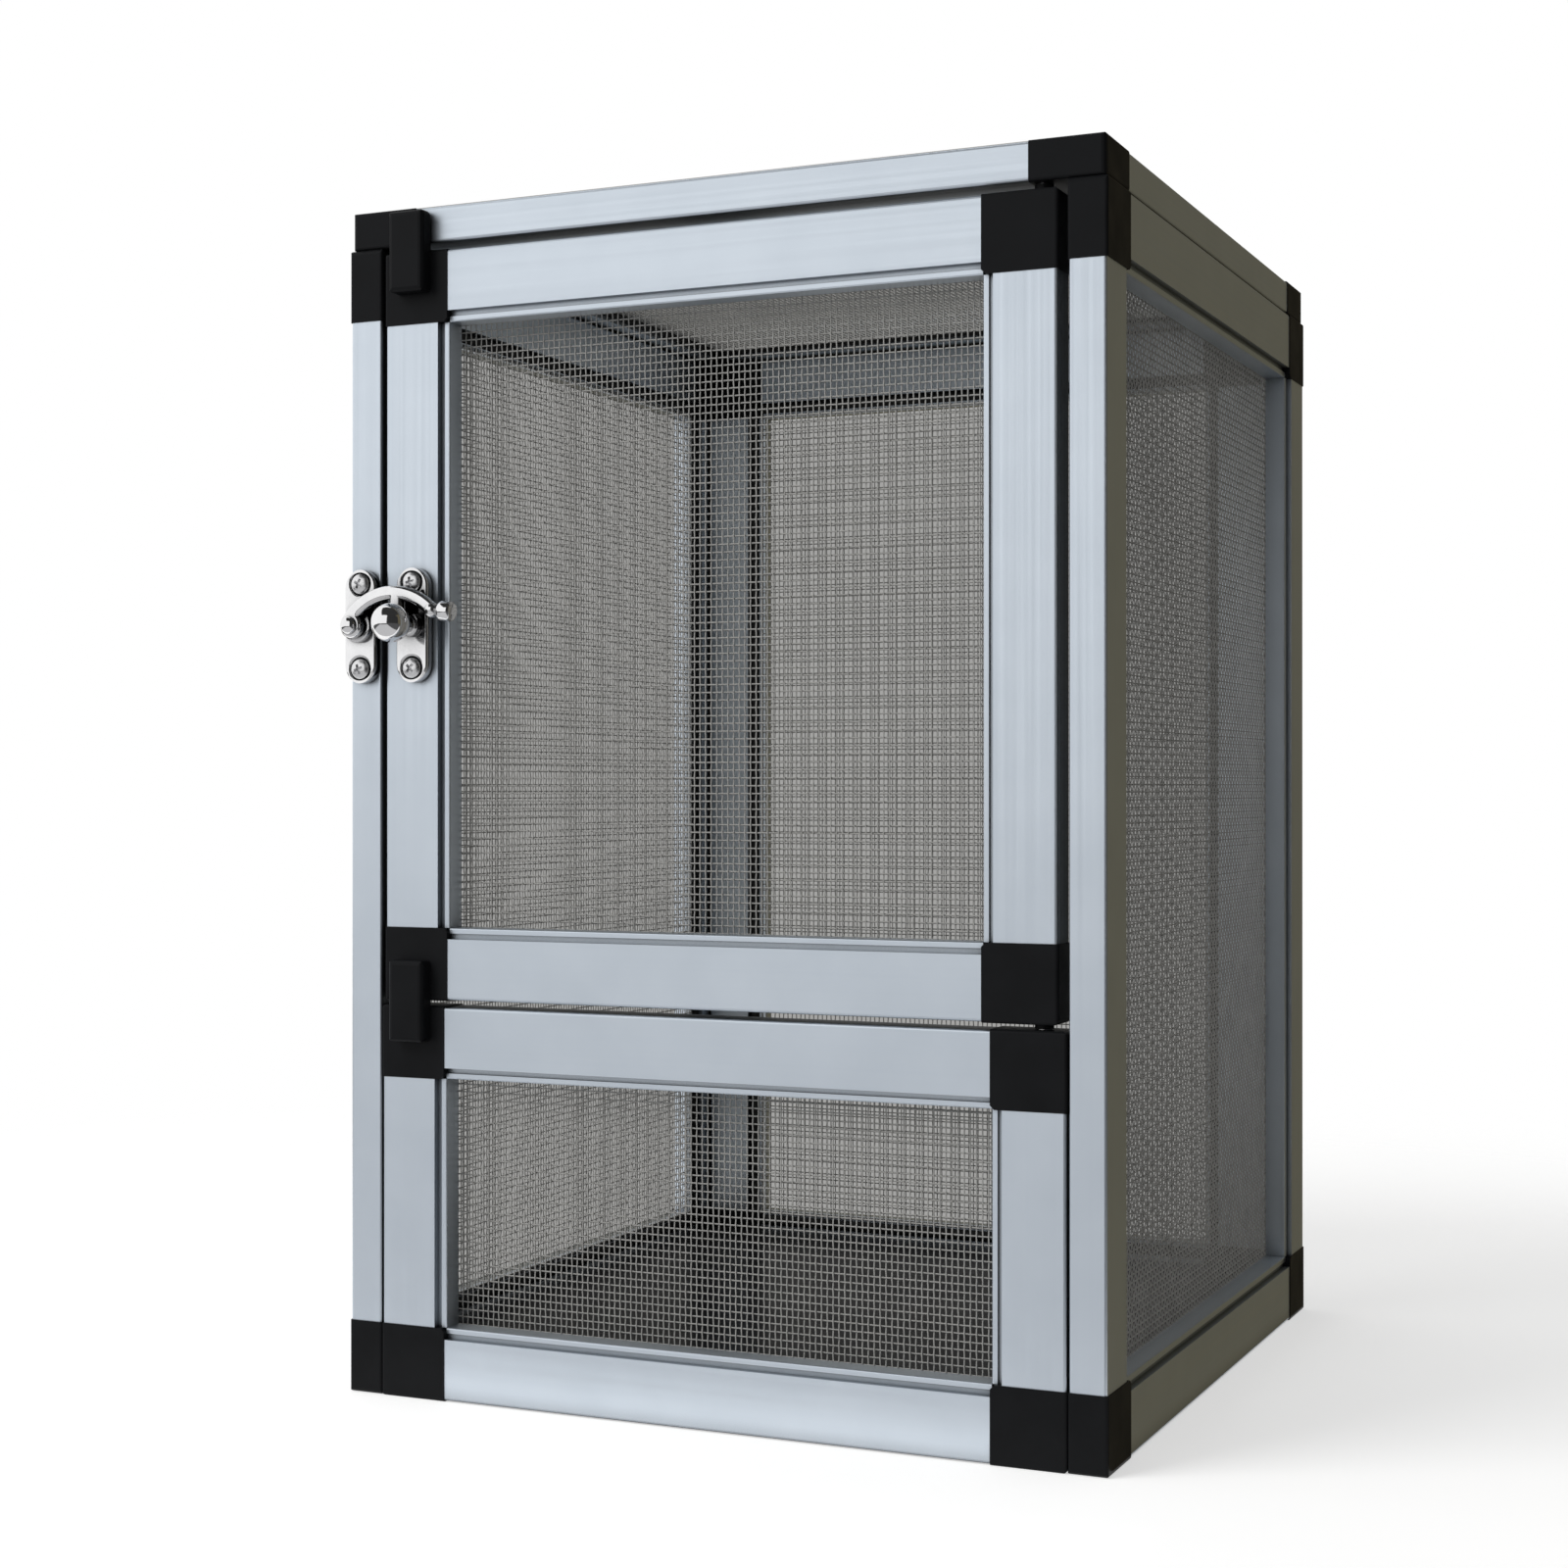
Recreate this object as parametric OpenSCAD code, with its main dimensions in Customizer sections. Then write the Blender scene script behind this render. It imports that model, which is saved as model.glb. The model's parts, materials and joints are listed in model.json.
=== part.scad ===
// Mesh reptile cage: seven framed panels of grooved rail, a front door on pivot pins and a swing-hook latch.
// Millimetres. The front faces -Y and +Z is up. The origin is on the ground, under the middle of the overall box.

/* [Cage] */
// Overall width across the front
cage_w = 200; // [170:1:400]
// Overall depth from front to back
cage_d = 200; // [170:1:400]
// Overall height
cage_h = 300; // [280:1:600]
// Set-back of the top panel on each side
top_inset = 0.5; // [0:0.1:1.5]

/* [Rail section] */
// Width of a panel's frame
rail_w = 18.3; // [17:0.1:24]
// Thickness of a panel's frame, at its corner keys
panel_t = 9.5; // [8.5:0.5:13]
// Wall of the hollow box
rail_wall = 1; // [0.8:0.1:1.6]
// Rounding of the rail's outer edges
edge_r = 0.7; // [0.3:0.1:1.2]
// Width of the lip beside the opening
lip_w = 1.4; // [1:0.1:2]
// Set-back of the lip behind the outer face
lip_drop = 1.2; // [0.4:0.1:1.6]
// Rounding of the lip's front edge
lip_r = 0.4; // [0.2:0.1:0.8]
// Width of the groove beside the lip
groove_w = 1.4; // [0.8:0.1:2]
// Depth of the groove beside the lip
groove_d = 1.9; // [1.7:0.1:2]
// Width of the spline channel inside
channel_w = 3.1; // [2.6:0.1:3.8]
// Web between the groove and the spline channel
web_t = 1.2; // [0.8:0.1:1.3]
// Depth of the mesh behind the panel's outer face
reveal = 7.1; // [7:0.1:7.5]

/* [Corner keys] */
// How far a key stands proud of its rails, which leaves a seam between the rails of neighbouring panels
key_proud = 0.25; // [0.1:0.05:0.3]
// Length of each leg inside its rail
leg_l = 24; // [12:1:26]
// Clearance of a leg in its rail, each side
leg_clear = 0.15; // [0.05:0.05:0.4]
// Taper length at a leg's tip
leg_taper = 3; // [1:0.5:6]
// Narrowing at a leg's tip, each side
leg_tip = 1; // [0.5:0.1:2]
// Rounding of a key's outer corner
key_r = 1.2; // [0.4:0.1:3]
// Chamfer at a key's inner corner
key_chamfer = 1; // [0.4:0.1:2]
// Diameter of the dowels that join neighbouring keys
dowel_d = 4; // [3:0.1:5]
// Length of a dowel
dowel_l = 11; // [8:0.5:13]
// Clearance round a dowel
dowel_clear = 0.05; // [0.02:0.01:0.2]
// Clearance at each end of a dowel
dowel_end = 0.3; // [0.1:0.1:0.6]

/* [Mesh] */
// Spacing of the mesh strands
mesh_pitch = 19.5; // [12:0.5:40]
// Width of a strand
strand_w = 1.2; // [0.6:0.1:2.5]
// Thickness of the mesh
mesh_t = 0.4; // [0.3:0.1:0.8]
// Lap of the mesh on the inner lip
mesh_lap = 1; // [0.5:0.1:1]
// Clearance of the spline in its channel, each side
spline_clear = 0.1; // [0.05:0.05:0.3]
// Depth of the spline in its channel
spline_in = 3.4; // [2:0.1:3.8]
// Height of the spline's crown over its channel
spline_crown = 1; // [0.4:0.1:1.5]

/* [Front] */
// Height of the fixed lower panel
lower_h = 99; // [90:1:140]
// Gap between the lower panel and the door
low_gap = 1.3; // [1:0.1:4]
// Gap between the door and the top panel
top_gap = 1.7; // [1:0.1:4]
// Gap at the door's latch side
latch_gap = 0.9; // [0.5:0.1:3]
// Least gap at the door's pivot side as it swings
swing_clear = 0.4; // [0.3:0.1:2]

/* [Door pivots] */
// Diameter of a pivot pin
pin_d = 3; // [2:0.1:4]
// Depth of a pin in each key
pin_in = 7; // [4:0.5:8]
// Radial running clearance of a pin in the door's keys
pin_run = 0.05; // [0.02:0.01:0.1]
// Radial clearance of a pin in the fixed keys
pin_seat = 0.01; // [0.01:0.01:0.05]
// Clearance past each end of a pin
pin_end = 0.4; // [0.2:0.1:1]
// Diameter of the bearing boss round a pin
boss_d = 4.4; // [4.4:0.1:7]
// Play between a bearing boss and the fixed key
boss_play = 0.2; // [0.1:0.1:0.6]

/* [Door stops] */
// Width of a stop lug
stop_w = 10; // [6:0.5:12]
// Height of a stop lug
stop_h = 20.5; // [16:0.5:24]
// How far a stop lug stands proud
stop_t = 4.2; // [2:0.1:6]
// Rounding of a stop lug's edges
stop_r = 1.2; // [0.4:0.1:1.5]
// Place of a stop lug from the door's free edge
stop_x = 8.6; // [7:0.1:10]
// Lap of the upper lug over the top panel
stop_lap_top = 8; // [3:0.5:8.5]
// Lap of the lower lug over the lower panel
stop_lap_low = 9; // [3:0.5:12]
// Play between a lug and the fixed panel behind it
stop_play = 0.3; // [0.2:0.1:0.6]

/* [Floor] */
// Thickness of the floor board
board_t = 3; // [2:0.5:6]
// Clearance round the floor board
board_clear = 0.4; // [0.2:0.1:2]
// Corner radius of the floor board
board_r = 2; // [0.5:0.5:6]

/* [Latch] */
// Place of the hook plate from the cage's left face
hook_x = 4.6; // [4.6:0.1:6]
// Place of the catch plate from the door's free edge
catch_x = 9.5; // [7:0.1:10.5]
// Length of a plate
plate_l = 28.8; // [27:0.2:34]
// Spacing of the two screws in a plate
screw_pitch = 21.6; // [20:0.2:22]
// Radius of a plate's ears
ear_r = 4.6; // [3:0.1:4.6]
// Thickness of a plate
plate_t = 2.8; // [2:0.1:3]
// Radius of a plate's middle
plate_mid_r = 4.6; // [4:0.1:4.6]
// Height of the hook plate's boss over the plate
hook_boss_h = 1.9; // [1.6:0.1:2.5]
// Thickness of the hook
hook_t = 2.8; // [1.2:0.1:3]
// Play of the hook along its rivet, each side
hook_play = 0.1; // [0.05:0.05:0.3]
// Radius of the hook's arm at its middle line
arm_r = 16; // [15:0.1:18]
// Width of the arm
arm_w = 3.5; // [2.5:0.1:4]
// Drop of the arm's centre below the rivet
arm_drop = 8; // [6:0.1:8.5]
// Angle at which the arm ends in its finger grip
arm_end = 45; // [35:1:50]
// Radius of the hook's eye
eye_r = 3.2; // [3:0.1:4.6]
// Width of the tooth that sits on the catch post
tooth_w = 3.4; // [2:0.1:5]
// Set-back of the tooth from the post, towards the rivet
tooth_back = 2; // [0:0.1:2.4]
// Clearance between the tooth and the post's neck
tooth_clear = 0.3; // [0.2:0.1:0.8]
// Radius of the bead at the arm's end
bead_r = 1.9; // [1.8:0.1:2.2]
// Length of the finger grip from the bead's centre
grip_l = 6.2; // [5:0.2:8]
// Radius of the finger grip
grip_r = 2.6; // [2:0.1:3]
// Rounding of the finger grip's end
grip_round = 0.8; // [0.4:0.1:1]
// Turn of the finger grip from level
grip_turn = -6; // [-45:1:0]
// Diameter of the rivet's shank
rivet_d = 3; // [2:0.1:4]
// Radial running clearance of the rivet in the hook
rivet_run = 0.05; // [0.02:0.01:0.1]
// Diameter of the rivet's head
rivet_head_d = 4.4; // [4:0.1:6]
// Height of the rivet's head
rivet_head_h = 1.7; // [1:0.1:2.5]
// Radius of the catch post's foot
foot_r = 3; // [2.4:0.1:4]
// Height of the catch post's foot over the plate
foot_h = 1.2; // [0.8:0.1:1.5]
// Radius of the catch post's neck
neck_r = 1.8; // [1.2:0.1:2.2]
// Radius of the post's ball head
ball_r = 4.9; // [3:0.1:5]
// Height of the ball's centre over the door
ball_h = 12.2; // [12.2:0.1:13.5]
// Diameter of the latch screws
screw_d = 2.8; // [2:0.1:3]
// Length of a screw behind its plate
screw_l = 7; // [4:0.5:9]
// Diameter of a screw's head
screw_head_d = 5.2; // [4:0.1:6]
// Height of a screw's head
screw_head_h = 1.3; // [0.8:0.1:1.5]
// Clearance round a screw, each side
screw_clear = 0.05; // [0.02:0.01:0.2]
// Width of the cross recess in a screw's head
recess_w = 0.7; // [0.4:0.1:1]
// Depth of the cross recess
recess_d = 0.7; // [0.3:0.1:0.8]

/* [Hidden] */
$fn = 48;

// Segments in a small rounded edge and in a larger round
edge_steps = 3;
round_steps = 10;
arm_steps = 24;
// A cut runs this far past the face that it opens
past = 1;

rail_colour = "#cdd4da";
key_colour = "#1c1d1f";
mesh_colour = "#8f9294";
spline_colour = "#26272a";
board_colour = "#2c2d30";
chrome_colour = "#dcdddf";
steel_colour = "#a9adb1";
dowel_colour = "#e6e4dc";

side_h = cage_h - panel_t;
inner_w = cage_w - 2 * panel_t;
inner_d = cage_d - 2 * panel_t;
box_w = rail_w - lip_w - channel_w;
// Depths in the rail section, behind the keys' outer face
lip_face = key_proud + lip_drop;
groove_floor = key_proud + groove_d;
channel_floor = groove_floor + web_t;
hollow_in = key_proud + rail_wall;

// The door turns about the middle of its own thickness, so its pivot edge sweeps this radius
pivot_inset = panel_t / 2;
swing_r = sqrt(2) * (panel_t / 2 - edge_r) + edge_r;
pivot_gap = swing_r - pivot_inset + swing_clear;
door_w = inner_w - latch_gap - pivot_gap;
door_x = -inner_w / 2 + latch_gap;
door_z = lower_h + low_gap;
door_h = side_h - top_gap - door_z;
pivot_x = door_x + door_w - pivot_inset;
pivot_y = -cage_d / 2 + panel_t / 2;

latch_z = door_z + door_h / 2;
latch_span = door_x + catch_x - (hook_x - cage_w / 2);
hook_low = plate_t + hook_boss_h + hook_play;
hook_high = hook_low + hook_t;
latch_reach = ball_h + ball_r - key_proud;
// The arm's outer edge runs into the round of the eye
arm_reach = arm_r + arm_w / 2 - eye_r;
arm_x = sqrt(arm_reach * arm_reach - arm_drop * arm_drop);
arm_start = 180 - asin(arm_drop / arm_reach);
// The arm's inner edge ends where it meets the eye: angles at the arm's centre and at the rivet
arm_inner_r = arm_r - arm_w / 2;
arm_meets = arm_start - acos(
    (arm_reach * arm_reach + arm_inner_r * arm_inner_r - eye_r * eye_r) / (2 * arm_reach * arm_inner_r)
);
eye_meets = arm_start - 180 + acos(
    (arm_reach * arm_reach + eye_r * eye_r - arm_inner_r * arm_inner_r) / (2 * arm_reach * eye_r)
);

// Each panel has its name and the names of its four rails, counted from the bottom, anticlockwise from outside
PANELS = [
    ["left_side", ["bottom_rail", "front_stile", "top_rail", "rear_stile"]],
    ["right_side", ["bottom_rail", "rear_stile", "top_rail", "front_stile"]],
    ["back", ["bottom_rail", "left_stile", "top_rail", "right_stile"]],
    ["top", ["front_rail", "right_rail", "rear_rail", "left_rail"]],
    ["base", ["rear_rail", "right_rail", "front_rail", "left_rail"]],
    ["lower_front", ["bottom_rail", "right_stile", "top_rail", "left_stile"]],
    ["door", ["bottom_rail", "hinge_stile", "top_rail", "latch_stile"]]
];
FIXED_PANELS = [for (p = PANELS) if (p[0] != "door") p];
MESH_PANELS = [for (p = PANELS) if (p[0] != "base") p];

function rail_name(panel, edge) = str(panel[0], "_", panel[1][edge]);
function keys_name(panel) = str(panel[0], "_corner_keys");
function mesh_name(panel) = str(panel[0], "_mesh");
function spline_name(panel) = str(panel[0], "_spline");

// Width and height of a panel, seen from outside the cage
function panel_size(name) =
    name == "left_side" || name == "right_side" ? [cage_d, side_h]
    : name == "back" ? [inner_w, side_h]
    : name == "top" ? [cage_w - 2 * top_inset, cage_d - 2 * top_inset]
    : name == "base" ? [inner_w, inner_d]
    : name == "lower_front" ? [inner_w, lower_h]
    : [door_w, door_h];

// Points along an arc about a centre, from one angle to another
function arc(centre, r, from, to, steps) =
    [for (i = [0:steps]) let (a = from + (to - from) * i / steps) centre + r * [cos(a), sin(a)]];

// A rectangle from the origin with all four corners rounded
function rounded_rectangle(w, h, r) = concat(
    arc([r, r], r, 180, 270, edge_steps),
    arc([w - r, r], r, 270, 360, edge_steps),
    arc([w - r, h - r], r, 0, 90, edge_steps),
    arc([r, h - r], r, 90, 180, edge_steps)
);

// Rail section: x runs from the keys' outer edge to the opening, and y runs back from the keys' outer face
edge_in = key_proud + edge_r;
rail_outline = concat(
    arc([edge_in, -edge_in], edge_r, 180, 90, edge_steps),
    [[rail_w - lip_w - groove_w, -key_proud]],
    [[rail_w - lip_w - groove_w, -groove_floor]],
    [[rail_w - lip_w, -groove_floor]],
    [[rail_w - lip_w, -lip_face]],
    arc([rail_w - lip_r, -lip_face - lip_r], lip_r, 90, 0, edge_steps),
    [[rail_w, -reveal]],
    [[rail_w - lip_w, -reveal]],
    [[rail_w - lip_w, -channel_floor]],
    [[box_w, -channel_floor]],
    [[box_w, key_proud - panel_t]],
    arc([edge_in, edge_in - panel_t], edge_r, 270, 180, edge_steps)
);

// The outer edge of a corner key, seen along either of its rails
key_section = concat(
    arc([edge_r, -edge_r], edge_r, 180, 90, edge_steps),
    [[rail_w, 0], [rail_w, -panel_t]],
    arc([edge_r, edge_r - panel_t], edge_r, 270, 180, edge_steps)
);

// A corner key seen from the front, with its outer corner at the origin
key_plan = concat(
    arc([key_r, key_r], key_r, 180, 270, edge_steps),
    [[rail_w, 0], [rail_w, rail_w - key_chamfer], [rail_w - key_chamfer, rail_w], [0, rail_w]]
);

// Spline section in its channel, with a crown over the channel's mouth
spline_half = channel_w / 2 - spline_clear;
spline_mid = box_w + channel_w / 2;
spline_crown_r = (spline_half * spline_half + spline_crown * spline_crown) / (2 * spline_crown);
spline_crown_a = asin(spline_half / spline_crown_r);
spline_outline = concat(
    [[spline_mid + spline_half, spline_in - reveal], [spline_mid - spline_half, spline_in - reveal]],
    arc(
        [spline_mid, spline_crown_r - spline_crown - reveal],
        spline_crown_r,
        270 - spline_crown_a,
        270 + spline_crown_a,
        edge_steps * 2
    )
);

// Puts a panel, drawn flat with its outer face at z = 0 and its lower left corner at the origin, in its place
module at_panel(name) {
    if (name == "left_side") translate([-cage_w / 2, cage_d / 2, 0]) rotate([90, 0, 270]) children();
    if (name == "right_side") translate([cage_w / 2, -cage_d / 2, 0]) rotate([90, 0, 90]) children();
    if (name == "back") translate([inner_w / 2, cage_d / 2, 0]) rotate([90, 0, 180]) children();
    if (name == "top") translate([top_inset - cage_w / 2, top_inset - cage_d / 2, cage_h]) children();
    if (name == "base") translate([-inner_w / 2, inner_d / 2, 0]) rotate([180, 0, 0]) children();
    if (name == "lower_front") translate([-inner_w / 2, -cage_d / 2, 0]) rotate([90, 0, 0]) children();
    if (name == "door") translate([door_x, -cage_d / 2, door_z]) rotate([90, 0, 0]) children();
}

// Turns a child drawn at the lower left corner of a flat panel to one of its four corners
module at_corner(size, corner) {
    places = [[0, 0], [size[0], 0], size, [0, size[1]]];
    translate(places[corner]) rotate(90 * corner) children();
}

// Extrudes a section along one edge of a flat panel, between the two corner keys
module along_edge(size, edge, outline) {
    at_corner(size, edge) translate([rail_w, 0, 0])
        rotate([90, 0, 90]) linear_extrude(size[edge % 2] - 2 * rail_w) polygon(outline);
}

// The hollow inside a rail, open at both ends
module rail_hollow(size, edge) {
    hollow_w = box_w - hollow_in - rail_wall;
    hollow_t = panel_t - 2 * hollow_in;
    at_corner(size, edge) translate([rail_w - past, hollow_in, hollow_in - panel_t])
        cube([size[edge % 2] - 2 * rail_w + 2 * past, hollow_w, hollow_t]);
}

module panel_rail(panel, edge) {
    size = panel_size(panel[0]);
    color(rail_colour) difference() {
        at_panel(panel[0]) difference() {
            along_edge(size, edge, rail_outline);
            rail_hollow(size, edge);
        }
        if (edge % 2 == 1) {
            dowels(dowel_clear, dowel_end);
            latch_screw_shanks(screw_clear);
        }
    }
}

// One leg of a corner key, from the key's face along +x
module key_leg() {
    in = hollow_in + leg_clear;
    w = box_w - in - rail_wall - leg_clear;
    t = panel_t - 2 * in;
    straight = leg_l - leg_taper;
    translate([rail_w, in, in - panel_t]) linear_extrude(t)
        polygon([[0, 0], [straight, 0], [leg_l, leg_tip], [leg_l, w - leg_tip], [straight, w], [0, w]]);
}

// A corner key with its outer corner at the origin and a leg along +x and +y
module corner_key() {
    difference() {
        intersection() {
            translate([0, 0, -panel_t]) linear_extrude(panel_t) polygon(key_plan);
            rotate([90, 0, 90]) linear_extrude(rail_w) polygon(key_section);
            translate([0, rail_w, 0]) rotate([90, 0, 0]) linear_extrude(rail_w) polygon(key_section);
        }
        translate([box_w, box_w, -panel_t - past]) cube([rail_w, rail_w, panel_t + past - reveal]);
    }
    key_leg();
    mirror([1, -1, 0]) key_leg();
}

module panel_keys(name, corners) {
    at_panel(name) for (corner = corners) at_corner(panel_size(name), corner) corner_key();
}

module fixed_keys(panel) {
    color(key_colour) difference() {
        panel_keys(panel[0], [0:3]);
        dowels(dowel_clear, dowel_end);
        pivot_pins(pin_seat, pin_end);
    }
}

// The bearing bosses round the pins, on the door's lower and upper edges
module bearing_bosses() {
    low_h = low_gap - boss_play;
    top_h = top_gap - boss_play;
    translate([pivot_x, pivot_y, door_z - low_h]) cylinder(d = boss_d, h = low_h);
    translate([pivot_x, pivot_y, door_z + door_h]) cylinder(d = boss_d, h = top_h);
}

module door_hinge_keys() {
    color(key_colour) difference() {
        union() {
            panel_keys("door", [1, 2]);
            bearing_bosses();
        }
        pivot_pins(pin_run, pin_end);
    }
}

// A stop lug with rounded edges, its lower left corner at the origin, standing up from z = 0
module stop_lug() {
    intersection() {
        linear_extrude(stop_t) polygon(rounded_rectangle(stop_w, stop_h, stop_r));
        translate([0, 0, -stop_t]) rotate([90, 0, 90])
            linear_extrude(stop_w) polygon(rounded_rectangle(stop_h, 2 * stop_t, stop_r));
        translate([0, stop_h, -stop_t]) rotate([90, 0, 0])
            linear_extrude(stop_h) polygon(rounded_rectangle(stop_w, 2 * stop_t, stop_r));
    }
}

module door_stop_keys() {
    low_y = -low_gap - stop_lap_low;
    top_y = door_h + top_gap + stop_lap_top - stop_h;
    color(key_colour) difference() {
        union() {
            panel_keys("door", [0, 3]);
            at_panel("door") for (y = [low_y, top_y]) translate([stop_x - stop_w / 2, y, 0]) stop_lug();
        }
        at_panel("door") for (y = [-stop_h - low_gap, door_h + top_gap])
            translate([0, y, -past]) cube([rail_w, stop_h, past + stop_play]);
    }
}

// A flat net of crossed strands that laps the inner lip on all sides
module panel_mesh(panel) {
    size = panel_size(panel[0]);
    edge = rail_w - mesh_lap;
    sheet = size - 2 * [edge, edge];
    count = [for (s = sheet) max(2, round(s / mesh_pitch))];
    gap = [for (i = [0, 1]) (sheet[i] - (count[i] + 1) * strand_w) / count[i]];
    color(mesh_colour) at_panel(panel[0]) translate([edge, edge, -reveal - mesh_t])
        linear_extrude(mesh_t) difference() {
            square(sheet);
            for (i = [0:count[0] - 1], j = [0:count[1] - 1])
                translate([strand_w + i * (gap[0] + strand_w), strand_w + j * (gap[1] + strand_w)]) square(gap);
        }
}

module panel_spline(panel) {
    size = panel_size(panel[0]);
    color(spline_colour) at_panel(panel[0])
        for (edge = [0:3]) along_edge(size, edge, spline_outline);
}

module floor_board() {
    w = inner_w - 2 * board_clear;
    d = inner_d - 2 * board_clear;
    color(board_colour) translate([-w / 2, -d / 2, panel_t])
        linear_extrude(board_t) polygon(rounded_rectangle(w, d, board_r));
}

// The dowels that join the panels, grown by a clearance round them and at their ends
module dowels(clear, end) {
    d = dowel_d + 2 * clear;
    l = dowel_l + 2 * end;
    wall_x = inner_w / 2;
    wall_y = cage_d / 2 - panel_t / 2;
    for (side = [-1, 1]) {
        for (row = [-1, 1]) {
            translate([side * (cage_w - panel_t) / 2, row * (cage_d - rail_w) / 2, side_h])
                cylinder(d = d, h = l, center = true);
            translate([side * wall_x, row * (inner_d - panel_t) / 2, panel_t / 2])
                rotate([0, 90, 0]) cylinder(d = d, h = l, center = true);
        }
        for (z = [rail_w / 2, side_h - rail_w / 2])
            translate([side * wall_x, wall_y, z]) rotate([0, 90, 0]) cylinder(d = d, h = l, center = true);
        for (z = [rail_w / 2, lower_h - rail_w / 2])
            translate([side * wall_x, -wall_y, z]) rotate([0, 90, 0]) cylinder(d = d, h = l, center = true);
    }
}

module corner_dowels() {
    color(dowel_colour) dowels(0, 0);
}

// The door's two pins, grown by a clearance round them and at their ends
module pivot_pins(clear, end) {
    d = pin_d + 2 * clear;
    low_l = 2 * pin_in + low_gap + 2 * end;
    top_l = 2 * pin_in + top_gap + 2 * end;
    translate([pivot_x, pivot_y, lower_h - pin_in - end]) cylinder(d = d, h = low_l);
    translate([pivot_x, pivot_y, door_z + door_h - pin_in - end]) cylinder(d = d, h = top_l);
}

module door_pivot_pins() {
    color(steel_colour) pivot_pins(0, 0);
}

// Puts a latch piece, drawn flat and standing up from z = 0, on the rails at the front of the cage
module at_hook() {
    translate([hook_x - cage_w / 2, key_proud - cage_d / 2, latch_z]) rotate([90, 0, 0]) children();
}

module at_catch() {
    at_hook() translate([latch_span, 0, 0]) children();
}

module at_screws() {
    for (end = [-1, 1]) translate([0, end * screw_pitch / 2, 0]) children();
}

// A plate with a screw ear at each end and a round middle
module latch_plate() {
    ear_y = plate_l / 2 - ear_r;
    ears = concat(
        arc([0, ear_y], ear_r, 0, 180, round_steps),
        arc([0, -ear_y], ear_r, 180, 360, round_steps)
    );
    linear_extrude(plate_t) difference() {
        union() {
            polygon(ears);
            circle(r = plate_mid_r);
        }
        at_screws() circle(d = screw_d + 2 * screw_clear);
    }
}

module latch_hook_plate() {
    color(chrome_colour) at_hook() difference() {
        union() {
            latch_plate();
            cylinder(r = plate_mid_r - edge_r, h = plate_t + hook_boss_h);
        }
        translate([0, 0, -past]) cylinder(d = rivet_d, h = hook_low + 2 * past);
    }
}

// All the points of a path but its first and last
function between(points) = [for (i = [1:len(points) - 2]) points[i]];

// The arched arm, from the finger grip over the catch post and round the eye
arm_centre = [arm_x, -arm_drop];
arm_outline = concat(
    arc(arm_centre, arm_r + arm_w / 2, arm_start, arm_end, arm_steps),
    arc(arm_centre, arm_inner_r, arm_end, arm_meets, arm_steps),
    between(arc([0, 0], eye_r, eye_meets, arm_start - 360, 2 * round_steps))
);

module latch_hook() {
    bead_at = arm_centre + arm_r * [cos(arm_end), sin(arm_end)];
    tooth_low = neck_r + tooth_clear;
    tooth_high = arm_r - arm_drop;
    // Half section of the bead and of the grip that flares out behind it
    grip_outline = concat(
        arc([0, 0], bead_r, -90, 45, round_steps),
        [[grip_r, grip_l / 2]],
        arc([grip_r - grip_round, grip_l - grip_round], grip_round, 0, 90, edge_steps),
        [[0, grip_l]]
    );
    color(chrome_colour) at_hook() translate([0, 0, hook_low]) difference() {
        union() {
            linear_extrude(hook_t) polygon(arm_outline);
            translate([latch_span - tooth_back - tooth_w / 2, tooth_low, 0])
                cube([tooth_w, tooth_high - tooth_low, hook_t]);
            translate([bead_at[0], bead_at[1], hook_t / 2]) rotate([0, 90, grip_turn])
                rotate_extrude() polygon(grip_outline);
        }
        translate([0, 0, -past]) cylinder(d = rivet_d + 2 * rivet_run, h = hook_t + 2 * past);
    }
}

module latch_rivet() {
    seat = hook_high + hook_play;
    color(chrome_colour) at_hook() rotate_extrude() polygon(concat(
        [[0, 0], [rivet_d / 2, 0], [rivet_d / 2, seat], [rivet_head_d / 2, seat]],
        [for (a = [30, 60, 90]) [rivet_head_d / 2 * cos(a), seat + rivet_head_h * sin(a)]]
    ));
}

module latch_catch_plate() {
    color(chrome_colour) at_catch() difference() {
        latch_plate();
        translate([0, 0, -past]) cylinder(r = neck_r, h = plate_t + 2 * past);
    }
}

module latch_catch_post() {
    neck_meets_ball = ball_h - sqrt(ball_r * ball_r - neck_r * neck_r);
    ball_start = asin((neck_meets_ball - ball_h) / ball_r);
    foot_top = plate_t + foot_h;
    color(chrome_colour) at_catch() rotate_extrude() polygon(concat(
        [[0, 0], [neck_r, 0], [neck_r, plate_t], [foot_r, plate_t], [foot_r, foot_top], [neck_r, foot_top]],
        arc([0, ball_h], ball_r, ball_start, 90, round_steps)
    ));
}

module screw_shank(clear) {
    translate([0, 0, -screw_l]) cylinder(d = screw_d + 2 * clear, h = screw_l + plate_t);
}

module latch_screw_shanks(clear) {
    at_hook() at_screws() screw_shank(clear);
    at_catch() at_screws() screw_shank(clear);
}

// A pan-head screw standing in a plate, with a cross recess
module latch_screw() {
    head_r = screw_head_d / 2;
    screw_shank(0);
    difference() {
        translate([0, 0, plate_t]) rotate_extrude() polygon(concat(
            [[0, 0], [head_r, 0]],
            [for (a = [20, 45, 70, 90]) [head_r * cos(a), screw_head_h * sin(a)]]
        ));
        for (turn = [0, 90]) rotate(turn)
            translate([-head_r / 2, -recess_w / 2, plate_t + screw_head_h - recess_d])
                cube([head_r, recess_w, recess_d + past]);
    }
}

module latch_frame_screws() {
    color(steel_colour) at_hook() at_screws() latch_screw();
}

module latch_door_screws() {
    color(steel_colour) at_catch() at_screws() latch_screw();
}

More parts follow.
